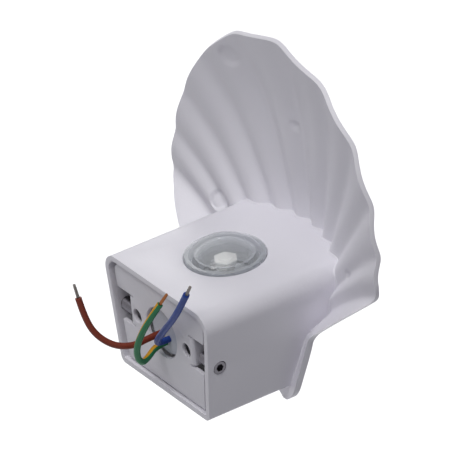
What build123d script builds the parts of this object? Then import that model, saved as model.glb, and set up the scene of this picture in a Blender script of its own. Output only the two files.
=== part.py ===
from build123d import *
from math import comb, cos, exp, pi, radians, sin, sqrt, tan
from numpy import array, einsum
from numpy.linalg import inv
import os

# Outdoor wall light with a scallop-shell front: a box housing hangs on a wall bracket by two set
# screws, a dome lens in its top throws light up into the shell, three free leads leave its back.
# Millimetres. The wall is at +Y, the front at -Y, up is +Z. The origin lies between the two wall
# screw holes, on the wall side of the bracket plate. Depths run forward from the housing's rear rim.

# Housing
top_width = 64.0
bottom_width = 54.0
box_height = 42.0
box_centre_z = -1.7
wall = 2.0
top_corner_radius = 6.5
bottom_corner_radius = 2.5
rim_projection = 1.0
seat_depth = 12.0
seat_length = 2.4
seat_boss_diameter = 6.5
seat_boss_length = 6.5
seat_width = 5.0
web_height = 17.0

# Mounting bracket
bracket_gap = 0.8
bracket_side_gap = 2.2
bracket_thickness = 1.5
wall_hole_spacing = 30.0
wall_hole_diameter = 5.0
cable_hole_diameter = 18.5
notch_edge_x = 19.4
notch_height = 12.2
notch_centre_z = 0.8
tab_length = 7.6
tab_relief = 0.7
tab_relief_length = 2.6
tab_bend_radius = 1.4

# Set screws
set_screw_diameter = 5.0
set_screw_depth = 4.8
set_screw_z = -1.9
set_screw_socket = 2.5
set_screw_socket_depth = 2.5
set_screw_point_diameter = 3.0
set_screw_point_length = 1.0
set_screw_chamfer = 0.3
set_screw_tip_gap = 0.05

# Lens and its port
lens_dome_diameter = 25.0
lens_dome_height = 6.0
lens_flange_width = 1.75
lens_flange_thickness = 1.5
lens_flange_round = 0.5
lens_wall = 2.0
lens_ledge = 1.0
lens_skirt_step = 1.0
lens_skirt_length = 7.0
lens_seat_clearance = 0.6
lens_web_clearance = 2.0
port_recess = 1.0
port_boss_width = 3.0
port_boss_length = 3.0
lens_gasket_thickness = 0.5
retainer_thickness = 2.5
retainer_width = 2.5

# Light source
board_margin = 1.0
board_thickness = 1.6
board_drop = 8.7
emitter_diameter = 9.0
emitter_height = 0.9
emitter_dome_diameter = 6.0
board_screw_radius = 8.5
carrier_thickness = 2.0
carrier_arm_width = 10.0
carrier_rim = 1.0
carrier_boss_x = 21.5
carrier_boss_diameter = 6.5
carrier_screw_reach = 4.5

# Driver
driver_web_gap = 8.0
driver_length = 14.0
driver_width = 36.0
driver_height = 12.0
driver_wall = 1.2
driver_lid_thickness = 1.5
driver_lid_round = 0.4
driver_ear_length = 6.6
driver_ear_width = 6.6
driver_boss_diameter = 6.0
driver_ear_height = 3.0
driver_ear_thickness = 2.0
driver_board_thickness = 1.2
driver_board_lift = 2.0
transformer_length = 10.0
transformer_width = 7.0
transformer_height = 5.0
coil_length = 6.0
coil_width = 9.0
coil_height = 4.0
capacitor_diameter = 5.0
capacitor_height = 6.0

# Inner cover with its seal, and the grommet
cover_thickness = 2.0
cover_gasket_thickness = 0.8
cover_clearance = 0.3
cover_screw_reach = 3.0
cover_screw_drop = 1.5
cover_screw_shift = 0.5
grommet_diameter = 17.4
grommet_face_depth = 2.8
grommet_round = 0.8
grommet_neck_diameter = 10.0
grommet_flange_diameter = 13.0
grommet_flange_thickness = 2.0

# Screws: small for the board, medium elsewhere
screw_diameter = 3.0
screw_head_diameter = 5.6
screw_head_height = 2.0
small_screw_diameter = 2.0
small_screw_head_diameter = 3.6
small_screw_head_height = 1.3
screw_reach = 5.0
small_screw_reach = 3.0
driver_slot_width = 0.9
driver_slot_depth = 0.8

# Earth connection on the web
earth_x = 0.0
earth_drop = 2.0
earth_ring_diameter = 7.5
earth_ring_thickness = 0.8
earth_tongue_drop = 5.5
earth_barrel_length = 5.0
earth_barrel_diameter = 3.4

# Shell: creases fan out from a point under the box, and a rounded rib bulges in between two creases
shell_thickness = 2.5
fan_drop = 56.0
fan_opening = 3.5
ribs_each_side = 5
first_rib_angle = 12.76
rib_angle_loss = 0.714
ear_angle_step = 5.2
ear_steps = 10.0
ear_flank = 0.9
crease_converge = 0.41
rim_radius_mean = 86.4
rim_radius_swing = 40.15
rim_depth_mean = 45.4
rim_depth_swing = 10.5
rim_depth_rate = 1.68
bowl_rise = 8.8
bowl_spread = 38.5
bowl_falloff = 2.33
bowl_power = 3.4
bowl_crown = 0.52
umbo_drop = 50.0
rib_height = 2.9
rib_side_loss = 0.17
rib_softness = 0.46
rib_start = 0.34
rib_decline = 0.5
ear_lift = 12.2
ear_lift_width = 0.6
ear_lift_length = 15.0
ear_lift_share = 0.5
fade_power = 6
normal_span = 0.8
ear_x = 59.5
ear_tip_x = 60.6
ear_tip_fillet = 8.0
ear_lower_x = 33.0
ear_lower_drop = 22.0
ear_fillet = 5.0
tongue_drop = 50.0
tongue_corner_x = 30.0
tongue_corner_rise = 4.0
tongue_fillet = 8.0
shell_boss_x = 13.0
shell_boss_z = 9.0
shell_boss_diameter = 8.0
shell_boss_sink = 1.2
shell_joint_gap = 0.1

# Leads
lead_diameter = 2.3
strand_diameter = 1.5
strand_length = 5.0
strand_chamfer = 0.3
brown_exit_x = 1.6
brown_exit_z = -1.0
earth_exit_x = 0.4
earth_exit_z = -4.4
blue_exit_x = -1.8
blue_exit_z = -2.2
arc_share = 0.45
inner_lead_diameter = 2.0
inner_lead_bend = 3.0
inner_bend_share = 0.9
inner_earth_shift = 3.4
inner_earth_straight = 0.19
inner_earth_slant = 0.48
led_lead_diameter = 1.4
led_lead_x = 4.0
led_lead_edge = 3.5

# Clearances
hole_clearance = 0.2
thread_clearance = 0.1
seat_clearance = 0.1

# Derived places
box_top = box_centre_z + box_height / 2
box_bottom = box_centre_z - box_height / 2
floor_z = box_bottom + wall
side_slope = (top_width - bottom_width) / 2 / box_height
side_stretch = sqrt(1 + side_slope ** 2)
cover_depth = seat_depth - cover_gasket_thickness - cover_thickness
lens_flange_diameter = lens_dome_diameter + 2 * lens_flange_width
lens_skirt_diameter = lens_dome_diameter - 2 * lens_skirt_step
retainer_reach = lens_skirt_diameter / 2 + retainer_width
lens_depth = seat_depth + seat_length + lens_seat_clearance + retainer_reach
web_depth = lens_depth + retainer_reach + lens_web_clearance
board_diameter = lens_skirt_diameter - 2 * board_margin
led_lead_offset = board_diameter / 2 - led_lead_edge
led_lead_depth = lens_depth + led_lead_offset
driver_front_depth = web_depth - driver_web_gap
lens_y = rim_projection - lens_depth
board_bottom_z = box_top - wall - board_drop
board_top_z = board_bottom_z + board_thickness
carrier_bottom_z = board_bottom_z - carrier_thickness
driver_rear_depth = driver_front_depth - driver_length
driver_top_z = floor_z + driver_height


def rear_plane(depth):
    return Plane(origin=(0, rim_projection - depth, 0), x_dir=(1, 0, 0), z_dir=(0, -1, 0))


def half_width(z, inset=0.0):
    return bottom_width / 2 + side_slope * (z - box_bottom) - inset * side_stretch


def box_section(inset, side_inset=None):
    low = box_bottom + inset
    high = box_top - inset
    aside = inset if side_inset is None else side_inset
    corners = [
        (half_width(low, aside), low),
        (half_width(high, aside), high),
        (-half_width(high, aside), high),
        (-half_width(low, aside), low),
    ]
    outline = make_face(Polyline(*corners, close=True))
    outline = fillet(outline.vertices().group_by(Axis.Y)[-1], max(top_corner_radius - inset, 0.5))
    return fillet(outline.vertices().group_by(Axis.Y)[0], max(bottom_corner_radius - inset, 0.5))


def block(section, depth, length):
    return extrude(rear_plane(depth) * section, length)


def rod_along_depth(x, z, diameter, depth, length):
    return block(Pos(x, z) * Circle(diameter / 2), depth, length)


def upright_rod(x, depth, diameter, z, length):
    return Pos(x, rim_projection - depth, z + length / 2) * Cylinder(diameter / 2, length)


def cross_slot(head_diameter):
    bar = Box(head_diameter * 0.62, driver_slot_width, driver_slot_depth)
    return bar + Rot(0, 0, 90) * bar


def pan_screw(diameter, head_diameter, head_height, shank_length):
    # The head stands on the XY plane and the shank points down
    head = Pos(0, 0, head_height / 2) * Cylinder(head_diameter / 2, head_height)
    head = fillet(head.edges().group_by(Axis.Z)[-1], head_height * 0.45)
    shank = Pos(0, 0, -shank_length / 2) * Cylinder(diameter / 2, shank_length)
    return head + shank - Pos(0, 0, head_height - driver_slot_depth / 2) * cross_slot(head_diameter)


def medium_screw(shank_length):
    return pan_screw(screw_diameter, screw_head_diameter, screw_head_height, shank_length)


def small_screw(shank_length):
    return pan_screw(small_screw_diameter, small_screw_head_diameter, small_screw_head_height, shank_length)


# A screw driven forward stands on a rear plane, one driven up hangs from a level one
head_to_rear = Rot(-90, 0, 0)
head_down = Rot(180, 0, 0)


def screw_from_rear(screw, x, z, depth):
    return Pos(x, rim_projection - depth, z) * head_to_rear * screw


def lead_path(points):
    vectors = [Vector(*point) for point in points]
    radii = []
    for before, corner, after in zip(vectors, vectors[1:], vectors[2:]):
        turn = radians((corner - before).get_angle(after - corner))
        shorter = min((corner - before).length, (after - corner).length)
        radii.append(arc_share * shorter / tan(turn / 2))
    return FilletPolyline(*vectors, radius=radii), radii


def lead_tube(path, diameter):
    return sweep(Plane(origin=path @ 0, z_dir=path % 0) * Circle(diameter / 2), path=path)


# Shell surface
def crease_angle(index):
    count = abs(index)
    angle = first_rib_angle * count - rib_angle_loss * count ** 2
    if count > ribs_each_side:
        last = first_rib_angle * ribs_each_side - rib_angle_loss * ribs_each_side ** 2
        angle = last + ear_angle_step * (count - ribs_each_side)
    return angle if index >= 0 else -angle


def grown(share, start):
    # Nothing near the fan point, half at the start share and full well past it
    return share ** fade_power / (share ** fade_power + start ** fade_power)


def ear_rise(steps, share):
    # Past the last crease the ears stand back towards the wall, most of all near the rim
    if steps <= 0:
        return 0.0
    onset = (1 - exp(-((steps / ear_lift_width) ** 2))) * exp(-steps / ear_lift_length)
    return ear_lift * onset * grown(share, ear_lift_share)


def crease_point(index, share):
    angle = crease_angle(index)
    reach = share * (rim_radius_mean + rim_radius_swing * cos(radians(2 * angle)))
    turn = radians(angle * (1 - crease_converge * (1 - share)))
    depth = rim_depth_mean + rim_depth_swing * cos(radians(rim_depth_rate * angle))
    rise = bowl_rise * exp(-((abs(angle) / bowl_spread) ** bowl_falloff))
    if share >= bowl_crown:
        depth += rise * (1 - ((share - bowl_crown) / (1 - bowl_crown)) ** bowl_power)
    else:
        fall = 1 - sqrt(1 - ((bowl_crown - share) / bowl_crown) ** 2)
        depth += rise - umbo_drop * cos(radians(angle)) ** 2 * fall
    depth -= ear_rise(abs(index) - ribs_each_side, share)
    return Vector(reach * sin(turn), rim_projection - depth, box_top - fan_drop + reach * cos(turn))


def inward_normal(index, share):
    # Taken over a span of creases, so that the wall does not fold where an ear turns up
    step = 0.001
    across = crease_point(index + normal_span, share) - crease_point(index - normal_span, share)
    along = crease_point(index, share + step) - crease_point(index, share - step)
    normal = across.cross(along).normalized()
    return normal if normal.Y > 0 else normal * -1


def rib_bulge(index, share):
    if abs(index) >= ribs_each_side:
        return 0.0
    wave = sqrt(sin(pi * index) ** 2 + rib_softness ** 2) - rib_softness
    height = rib_height * grown(share, rib_start) * (1 - rib_decline * share)
    height = height * (1 - rib_side_loss * abs(index) / ribs_each_side)
    return height * wave / (sqrt(1 + rib_softness ** 2) - rib_softness)


def shell_point(index, share, inset):
    return crease_point(index, share) + inward_normal(index, share) * (rib_bulge(index, share) + inset)


# The surface is a grid of patches: one band per rib, three per ear, and two rows that meet at the crown
across_nodes = [0.0, 0.1, 0.25, 0.5, 0.75, 0.9, 1.0]
along_nodes = [0.0, 0.1, 0.3, 0.5, 0.7, 0.9, 1.0]
wall_nodes = [0.0, 1.0]
ear_edges = [ribs_each_side + steps for steps in (ear_flank, ear_steps / 2, ear_steps)]
band_edges = [-edge for edge in reversed(ear_edges)]
band_edges += [float(rib) for rib in range(-ribs_each_side, ribs_each_side + 1)]
band_edges += ear_edges
column_bands = list(zip(band_edges, band_edges[1:]))
row_bands = [(0.0, 0.5), (0.5, 1.0)]


def first_share(index):
    # Where a crease line starts, a little above the point that the creases fan out from
    angle = crease_angle(index)
    reach = rim_radius_mean + rim_radius_swing * cos(radians(2 * angle))
    share = 0.0
    for step in range(12):
        share = fan_opening / reach / cos(radians(angle * (1 - crease_converge * (1 - share))))
    return share


def share_at(index, row):
    if row > 0.5:
        return bowl_crown + (1 - bowl_crown) * (2 * row - 1)
    low = first_share(index)
    return low + (bowl_crown - low) * 2 * row


def inner_surface(index, row):
    return shell_point(index, share_at(index, row), 0.0)


def outer_surface(index, row):
    return shell_point(index, share_at(index, row), -shell_thickness)


def joint_surface(index, row):
    return shell_point(index, share_at(index, row), shell_joint_gap)


def rear_surface(index, row):
    point = joint_surface(index, row)
    return Vector(point.X, 2 * rim_projection, point.Z)


def bernstein(nodes):
    degree = len(nodes) - 1
    terms = range(degree + 1)
    rows = [[comb(degree, k) * node ** k * (1 - node) ** (degree - k) for k in terms] for node in nodes]
    return array(rows)


def patch(points, across, along):
    # The control net of a Bezier patch that passes through a grid of points
    grid = array([[tuple(point) for point in line] for line in points])
    net = einsum("ai,bj,ijc->abc", inv(bernstein(across)), inv(bernstein(along)), grid)
    return Face.make_bezier_surface([[Vector(*place) for place in line] for line in net])


def spread(band, nodes):
    return [band[0] + (band[1] - band[0]) * node for node in nodes]


def patch_solid(front, rear):
    faces = []
    for columns in column_bands:
        across = spread(columns, across_nodes)
        for rows in row_bands:
            along = spread(rows, along_nodes)
            for surface in (front, rear):
                points = [[surface(column, row) for row in along] for column in across]
                faces.append(patch(points, across_nodes, along_nodes))
        for row in (row_bands[0][0], row_bands[-1][1]):
            edge = [[front(column, row), rear(column, row)] for column in across]
            faces.append(patch(edge, across_nodes, wall_nodes))
    for rows in row_bands:
        along = spread(rows, along_nodes)
        for column in (band_edges[0], band_edges[-1]):
            edge = [[front(column, row), rear(column, row)] for row in along]
            faces.append(patch(edge, along_nodes, wall_nodes))
    return Solid(Shell(faces))


def shell_outline():
    # The ears end on two sloping lines, and the tongue hangs between them
    ear_slope = ear_lower_drop / (ear_x - ear_lower_x)
    far = ear_x * 1.5
    high = box_top + 2 * rim_radius_mean
    ear_tip_z = box_top + ear_slope * (ear_tip_x - ear_x)
    ear_lower_z = box_top - ear_lower_drop
    bottom = box_top - tongue_drop
    corner_z = bottom + tongue_corner_rise
    right = [(far, high), (ear_tip_x, ear_tip_z), (ear_lower_x, ear_lower_z), (tongue_corner_x, corner_z)]
    left = [(-x, z) for x, z in right]
    edge = Polyline(*reversed(right), *left)
    lip = ThreePointArc((-tongue_corner_x, corner_z), (0, bottom), (tongue_corner_x, corner_z))
    outline = make_face(edge + lip)
    for level, radius in ((ear_tip_z, ear_tip_fillet), (ear_lower_z, ear_fillet), (corner_z, tongue_fillet)):
        corners = [vertex for vertex in outline.vertices() if abs(vertex.Y - level) < 0.01]
        outline = fillet(corners, radius)
    return outline


def make_shell():
    shell = patch_solid(outer_surface, inner_surface) & block(shell_outline(), 0, 2 * fan_drop)
    boss_depth = web_depth + wall
    for x in (-shell_boss_x, shell_boss_x):
        reach = shell_reach_at(x, shell_boss_z) + shell_boss_sink
        shell = shell + rod_along_depth(x, shell_boss_z, shell_boss_diameter, boss_depth, reach - boss_depth)
        shell = shell - rod_along_depth(
            x, shell_boss_z, screw_diameter + thread_clearance, boss_depth, screw_reach + hole_clearance
        )
    return shell


def shell_reach_at(x, z):
    # Depth of the inner surface at a place, found by stepping along the nearest rib
    columns = [step / 8 for step in range(-8 * ribs_each_side, 8 * ribs_each_side + 1)]
    shares = [row / 60 for row in range(6, 61)]
    places = [shell_point(column, share, 0.0) for column in columns for share in shares]
    best = min(places, key=lambda point: (point.X - x) ** 2 + (point.Z - z) ** 2)
    return rim_projection - best.Y


def shell_space():
    # The space behind the shell's inner surface, which ends the housing's walls
    return patch_solid(joint_surface, rear_surface)


# Screw places, as X and Z, or X and depth
cover_screw_inset = wall + seat_width / 2
cover_screw_places = []
cover_screw_heights = (
    box_top - cover_screw_inset - cover_screw_drop,
    box_bottom + cover_screw_inset + cover_screw_shift,
)
for z in cover_screw_heights:
    for side in (-1, 1):
        cover_screw_places.append((side * (half_width(z, cover_screw_inset) - cover_screw_shift), z))
shell_screw_places = [(-shell_boss_x, shell_boss_z), (shell_boss_x, shell_boss_z)]
carrier_screw_places = [(-carrier_boss_x, lens_depth), (carrier_boss_x, lens_depth)]
driver_screw_x = driver_width / 2 + driver_ear_length / 2
driver_screw_depth = driver_front_depth - driver_length / 2
driver_screw_places = [(-driver_screw_x, driver_screw_depth), (driver_screw_x, driver_screw_depth)]
board_screw_places = [(-board_screw_radius, lens_depth), (board_screw_radius, lens_depth)]
earth_z = shell_boss_z - earth_drop
set_screw_face = half_width(set_screw_z)


def make_housing():
    outer = box_section(0.0)
    inner = box_section(wall)
    reach = 2 * fan_drop
    housing = block(outer, 0, reach) - block(inner, 0, reach)
    seat = inner - box_section(wall + seat_width)
    housing = housing + block(seat, seat_depth, seat_length)
    for x, z in cover_screw_places:
        boss = Pos(x, z) * Circle(seat_boss_diameter / 2) & box_section(wall / 2)
        housing = housing + block(boss, seat_depth, seat_boss_length)
    web = inner & Pos(0, box_top - web_height / 2) * Rectangle(2 * top_width, web_height)
    housing = housing + block(web, web_depth, wall)
    port_outer = lens_skirt_diameter + 2 * port_boss_width
    port_z = box_top - wall - port_boss_length
    housing = housing + upright_rod(0, lens_depth, port_outer, port_z, port_boss_length + wall / 2)
    for x, depth in carrier_screw_places:
        length = board_drop + wall / 2
        housing = housing + upright_rod(x, depth, carrier_boss_diameter, board_bottom_z, length)
    for x, depth in driver_screw_places:
        length = driver_ear_height + wall / 2
        housing = housing + upright_rod(x, depth, driver_boss_diameter, floor_z - wall / 2, length)
    housing = housing & shell_space()
    recess_diameter = lens_flange_diameter + 2 * hole_clearance
    housing = housing - upright_rod(0, lens_depth, recess_diameter, box_top - port_recess, 2 * port_recess)
    port_diameter = lens_skirt_diameter + 2 * hole_clearance
    housing = housing - upright_rod(0, lens_depth, port_diameter, port_z - wall, port_boss_length + 3 * wall)
    tapped = screw_diameter + thread_clearance
    for x, depth in carrier_screw_places:
        housing = housing - upright_rod(x, depth, tapped, board_bottom_z - wall, wall + screw_reach)
    for x, depth in driver_screw_places:
        length = driver_ear_height + wall / 2
        housing = housing - upright_rod(x, depth, tapped, floor_z - wall / 2, length + wall)
    for x, z in cover_screw_places:
        length = wall + cover_screw_reach + wall / 2
        housing = housing - rod_along_depth(x, z, tapped, seat_depth - wall, length)
    passing = screw_diameter + 2 * hole_clearance
    for x, z in shell_screw_places:
        housing = housing - rod_along_depth(x, z, passing, web_depth - wall, 3 * wall)
    housing = housing - rod_along_depth(earth_x, earth_z, tapped, web_depth - wall, 3 * wall)
    for side in (-1, 1):
        hole = Pos(side * set_screw_face, rim_projection - set_screw_depth, set_screw_z)
        bore = Cylinder((set_screw_diameter + thread_clearance) / 2, 4 * wall)
        housing = housing - hole * Rot(0, 90, 0) * bore
    return housing


def make_bracket():
    plate_depth = rim_projection
    plate = box_section(wall + bracket_gap, wall + bracket_side_gap)
    plate = plate - Circle(cable_hole_diameter / 2)
    for side in (-1, 1):
        plate = plate - Pos(side * wall_hole_spacing / 2, 0) * Circle(wall_hole_diameter / 2)
        notch = Rectangle(top_width, notch_height)
        plate = plate - Pos(side * (notch_edge_x + top_width / 2), notch_centre_z) * notch
    bracket = block(plate, plate_depth, bracket_thickness)
    tab_height = notch_height - 2 * tab_relief
    for side in (-1, 1):
        tab = Rectangle(bracket_thickness, tab_height)
        tab_x = side * (notch_edge_x - bracket_thickness / 2)
        bracket = bracket + block(Pos(tab_x, notch_centre_z) * tab, plate_depth, tab_length)
        for end in (-1, 1):
            relief_x = side * (notch_edge_x - tab_relief_length / 2)
            relief_z = notch_centre_z + end * (notch_height - tab_relief) / 2
            relief = Pos(relief_x, relief_z) * Rectangle(tab_relief_length, tab_relief)
            bracket = bracket - block(relief, plate_depth, tab_length)
    bends = [edge for edge in bracket.edges().filter_by(Axis.Z) if abs(edge.center().Y) < 0.01]
    bends = [edge for edge in bends if abs(abs(edge.center().X) - notch_edge_x) < 0.01]
    return fillet(bends, tab_bend_radius)


def make_set_screw(side):
    tip_x = notch_edge_x + set_screw_tip_gap
    length = set_screw_face - tip_x
    body_length = length - set_screw_point_length
    body = Pos(0, 0, set_screw_point_length + body_length / 2) * Cylinder(set_screw_diameter / 2, body_length)
    body = chamfer(body.edges().group_by(Axis.Z)[-1], set_screw_chamfer)
    point = Cone(set_screw_point_diameter / 2, set_screw_diameter / 2, set_screw_point_length)
    screw = body + Pos(0, 0, set_screw_point_length / 2) * point
    socket = RegularPolygon(set_screw_socket / 2, 6, major_radius=False)
    screw = screw - extrude(Pos(0, 0, length - set_screw_socket_depth) * socket, 2 * set_screw_socket_depth)
    place = Pos(side * tip_x, rim_projection - set_screw_depth, set_screw_z)
    return place * Rot(0, 90 * side, 0) * screw


def lens_profile(radius, height):
    # Half of a dome section, from the axis outwards
    ball = (radius ** 2 + height ** 2) / (2 * height)
    return ball, height - ball


def make_lens():
    base_z = box_top - port_recess + lens_gasket_thickness
    flange_top = base_z + lens_flange_thickness
    outer_ball, outer_centre = lens_profile(lens_dome_diameter / 2, lens_dome_height)
    inner_diameter = lens_dome_diameter - 2 * lens_wall
    inner_ball, inner_centre = lens_profile(inner_diameter / 2, lens_dome_height - lens_wall)
    lens = Pos(0, 0, lens_flange_thickness / 2) * Cylinder(lens_flange_diameter / 2, lens_flange_thickness)
    lens = fillet(lens.edges().group_by(Axis.Z)[-1], lens_flange_round)
    cap = Pos(0, 0, lens_flange_thickness + outer_centre) * Sphere(outer_ball)
    above = Pos(0, 0, lens_flange_thickness + outer_ball) * Box(
        4 * outer_ball, 4 * outer_ball, 2 * outer_ball
    )
    lens = lens + (cap & above)
    skirt = Pos(0, 0, -lens_skirt_length / 2) * Cylinder(lens_skirt_diameter / 2, lens_skirt_length)
    lens = lens + skirt
    bore = Pos(0, 0, (lens_flange_thickness - lens_skirt_length) / 2) * Cylinder(
        inner_diameter / 2 - lens_ledge, lens_flange_thickness + lens_skirt_length
    )
    hollow = Pos(0, 0, lens_flange_thickness + inner_centre) * Sphere(inner_ball)
    lens = lens - bore - (hollow & above)
    return Pos(0, lens_y, flange_top - lens_flange_thickness) * lens


def make_lens_gasket():
    ring = Cylinder(lens_flange_diameter / 2, lens_gasket_thickness)
    ring = ring - Cylinder(lens_skirt_diameter / 2 + hole_clearance, lens_gasket_thickness)
    return Pos(0, lens_y, box_top - port_recess + lens_gasket_thickness / 2) * ring


def make_lens_retainer():
    ring = Cylinder(retainer_reach, retainer_thickness)
    ring = ring - Cylinder(lens_skirt_diameter / 2 + thread_clearance, retainer_thickness)
    top = box_top - wall - port_boss_length - seat_clearance
    return Pos(0, lens_y, top - retainer_thickness / 2) * ring


def make_led_board():
    board = upright_rod(0, lens_depth, board_diameter, board_bottom_z, board_thickness)
    for x, depth in board_screw_places:
        hole = small_screw_diameter + 2 * hole_clearance
        board = board - upright_rod(x, depth, hole, board_bottom_z, board_thickness)
    return board


def make_led_emitter():
    base = upright_rod(0, lens_depth, emitter_diameter, board_top_z, emitter_height)
    dome_z = board_top_z + emitter_height
    dome = Pos(0, lens_y, dome_z) * Sphere(
        emitter_dome_diameter / 2, arc_size1=0, align=(Align.CENTER, Align.CENTER, Align.MIN)
    )
    return base + dome


def make_led_carrier():
    arm_length = 2 * carrier_boss_x + carrier_boss_diameter
    pad = Circle(board_diameter / 2 + carrier_rim)
    section = pad + Rectangle(arm_length, carrier_arm_width)
    for x, depth in carrier_screw_places:
        section = section - Pos(x, 0) * Circle(screw_diameter / 2 + hole_clearance)
    for x, depth in board_screw_places:
        section = section - Pos(x, 0) * Circle((small_screw_diameter + thread_clearance) / 2)
    for side in (-1, 1):
        hole = Circle(led_lead_diameter / 2 + 2 * hole_clearance)
        section = section - Pos(side * led_lead_x, -led_lead_offset) * hole
    return extrude(Pos(0, lens_y, carrier_bottom_z) * section, carrier_thickness)


def driver_box(inset, bottom, height):
    width = driver_width - 2 * inset
    length = driver_length - 2 * inset
    y = rim_projection - driver_front_depth + driver_length / 2
    return Pos(0, y, bottom + height / 2) * Box(width, length, height)


def make_driver_case():
    body_height = driver_height - driver_lid_thickness
    body = driver_box(0.0, floor_z, body_height)
    ears = Pos(0, rim_projection - driver_screw_depth, floor_z + driver_ear_height + driver_ear_thickness / 2)
    ears = ears * Box(driver_width + 2 * driver_ear_length, driver_ear_width, driver_ear_thickness)
    case = body + ears - driver_box(driver_wall, floor_z + driver_wall, driver_height)
    for x, depth in driver_screw_places:
        case = case - upright_rod(x, depth, screw_diameter + 2 * hole_clearance, floor_z, driver_height)
    return case


def make_driver_lid():
    lid = driver_box(0.0, driver_top_z - driver_lid_thickness, driver_lid_thickness)
    return fillet(lid.edges().group_by(Axis.Z)[-1], driver_lid_round)


driver_board_z = floor_z + driver_wall + driver_board_lift


def make_driver_board():
    board = driver_box(driver_wall + seat_clearance, driver_board_z, driver_board_thickness)
    stand = driver_box(driver_wall + driver_board_lift, floor_z + driver_wall, driver_board_lift)
    return board + stand


def make_transformer():
    top = driver_board_z + driver_board_thickness
    y = rim_projection - driver_screw_depth
    place = Pos(-driver_width / 5, y, top + transformer_height / 2)
    core = place * Box(transformer_length, transformer_width, transformer_height)
    return core + place * Box(coil_length, coil_width, coil_height)


def make_capacitor():
    y = rim_projection - driver_screw_depth
    return Pos(driver_width / 5, y, driver_board_z + driver_board_thickness + capacitor_diameter / 2) * (
        Rot(0, 90, 0) * Cylinder(capacitor_diameter / 2, capacitor_height)
    )


def make_cover():
    cover = box_section(wall + cover_clearance) - Circle(grommet_neck_diameter / 2 + hole_clearance)
    for x, z in cover_screw_places:
        cover = cover - Pos(x, z) * Circle(screw_diameter / 2 + hole_clearance)
    return block(cover, cover_depth, cover_thickness)


def make_cover_gasket():
    gasket = box_section(wall + cover_clearance) - box_section(wall + seat_width)
    for x, z in cover_screw_places:
        gasket = gasket - Pos(x, z) * Circle(screw_diameter / 2 + hole_clearance)
    return block(gasket, seat_depth - cover_gasket_thickness, cover_gasket_thickness)


def make_grommet():
    body_length = cover_depth - grommet_face_depth
    grommet = rod_along_depth(0, 0, grommet_diameter, grommet_face_depth, body_length)
    grommet = fillet(grommet.edges().group_by(Axis.Y)[-1], grommet_round)
    grommet = grommet + rod_along_depth(0, 0, grommet_neck_diameter, cover_depth, cover_thickness)
    front = cover_depth + cover_thickness
    return grommet + rod_along_depth(0, 0, grommet_flange_diameter, front, grommet_flange_thickness)


grommet_front_depth = cover_depth + cover_thickness + grommet_flange_thickness


def make_earth_terminal():
    ring_depth = web_depth - earth_ring_thickness
    ring = Pos(earth_x, earth_z) * Circle(earth_ring_diameter / 2)
    tongue = Rectangle(earth_barrel_diameter, earth_tongue_drop)
    plate = ring + Pos(earth_x, earth_z - earth_tongue_drop / 2) * tongue
    plate = plate - Pos(earth_x, earth_z) * Circle(screw_diameter / 2 + hole_clearance)
    barrel_z = earth_z - earth_tongue_drop
    barrel = rod_along_depth(
        earth_x, barrel_z, earth_barrel_diameter, web_depth - earth_barrel_length, earth_barrel_length
    )
    return block(plate, ring_depth, earth_ring_thickness) + barrel


# Lead routes from the grommet's face outwards, chosen by hand
grommet_face_y = rim_projection - grommet_face_depth
brown_route = [
    (brown_exit_x, grommet_face_y, brown_exit_z),
    (brown_exit_x, 4.4, brown_exit_z),
    (0.9, 10.8, -1.1),
    (3.2, 17.0, 0.3),
    (7.2, 21.6, 4.9),
    (10.0, 23.4, 11.6),
    (11.8, 23.8, 18.2),
]
earth_route = [
    (earth_exit_x, grommet_face_y, earth_exit_z),
    (earth_exit_x, 2.6, earth_exit_z),
    (-1.2, 7.0, -6.4),
    (-3.0, 10.6, -6.2),
    (-3.6, 12.6, -2.6),
    (-5.6, 13.2, 3.2),
    (-9.2, 12.0, 10.6),
    (-12.4, 10.0, 16.6),
    (-14.6, 8.0, 20.9),
]
blue_route = [
    (blue_exit_x, grommet_face_y, blue_exit_z),
    (blue_exit_x, 2.4, blue_exit_z),
    (-4.6, 5.0, 0.8),
    (-10.1, 5.1, 7.3),
    (-17.3, 5.5, 14.8),
    (-23.4, 5.8, 22.2),
    (-28.3, 5.5, 29.7),
]


def make_lead(name, route):
    path, radii = lead_path(route)
    tube = lead_tube(path, lead_diameter)
    expected = pi * lead_diameter ** 2 / 4 * path.length
    print(name, "length", round(path.length, 1), "radii", [round(radius, 1) for radius in radii])
    print(name, "volume over section times length", round(tube.volume / expected, 4))
    end = Plane(origin=path @ 1, z_dir=path % 1)
    strands = extrude(end * Circle(strand_diameter / 2), strand_length)
    return tube, chamfer(strands.edges().sort_by_distance(path @ 1)[-1], strand_chamfer)


def make_inner_supply_leads():
    leads = []
    entry_z = floor_z + driver_height / 2
    bend_depth = (grommet_front_depth + driver_rear_depth) / 2
    bend = (driver_rear_depth - grommet_front_depth) / 2 * inner_bend_share
    for x, z in ((brown_exit_x, brown_exit_z), (blue_exit_x, blue_exit_z)):
        points = [
            (grommet_front_depth, z),
            (bend_depth, z),
            (bend_depth, entry_z),
            (driver_rear_depth, entry_z),
        ]
        vectors = [Vector(x, rim_projection - depth, height) for depth, height in points]
        leads.append(lead_tube(FilletPolyline(*vectors, radius=bend), inner_lead_diameter))
    return leads


def make_inner_earth_lead():
    barrel_z = earth_z - earth_tongue_drop
    barrel_depth = web_depth - earth_barrel_length
    run = barrel_depth - grommet_front_depth
    points = [
        (earth_x + inner_earth_shift, grommet_front_depth),
        (earth_x + inner_earth_shift, grommet_front_depth + inner_earth_straight * run),
        (earth_x, grommet_front_depth + inner_earth_slant * run),
        (earth_x, barrel_depth),
    ]
    vectors = [Vector(x, rim_projection - depth, barrel_z) for x, depth in points]
    return lead_tube(FilletPolyline(*vectors, radius=inner_lead_bend), inner_lead_diameter)


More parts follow.
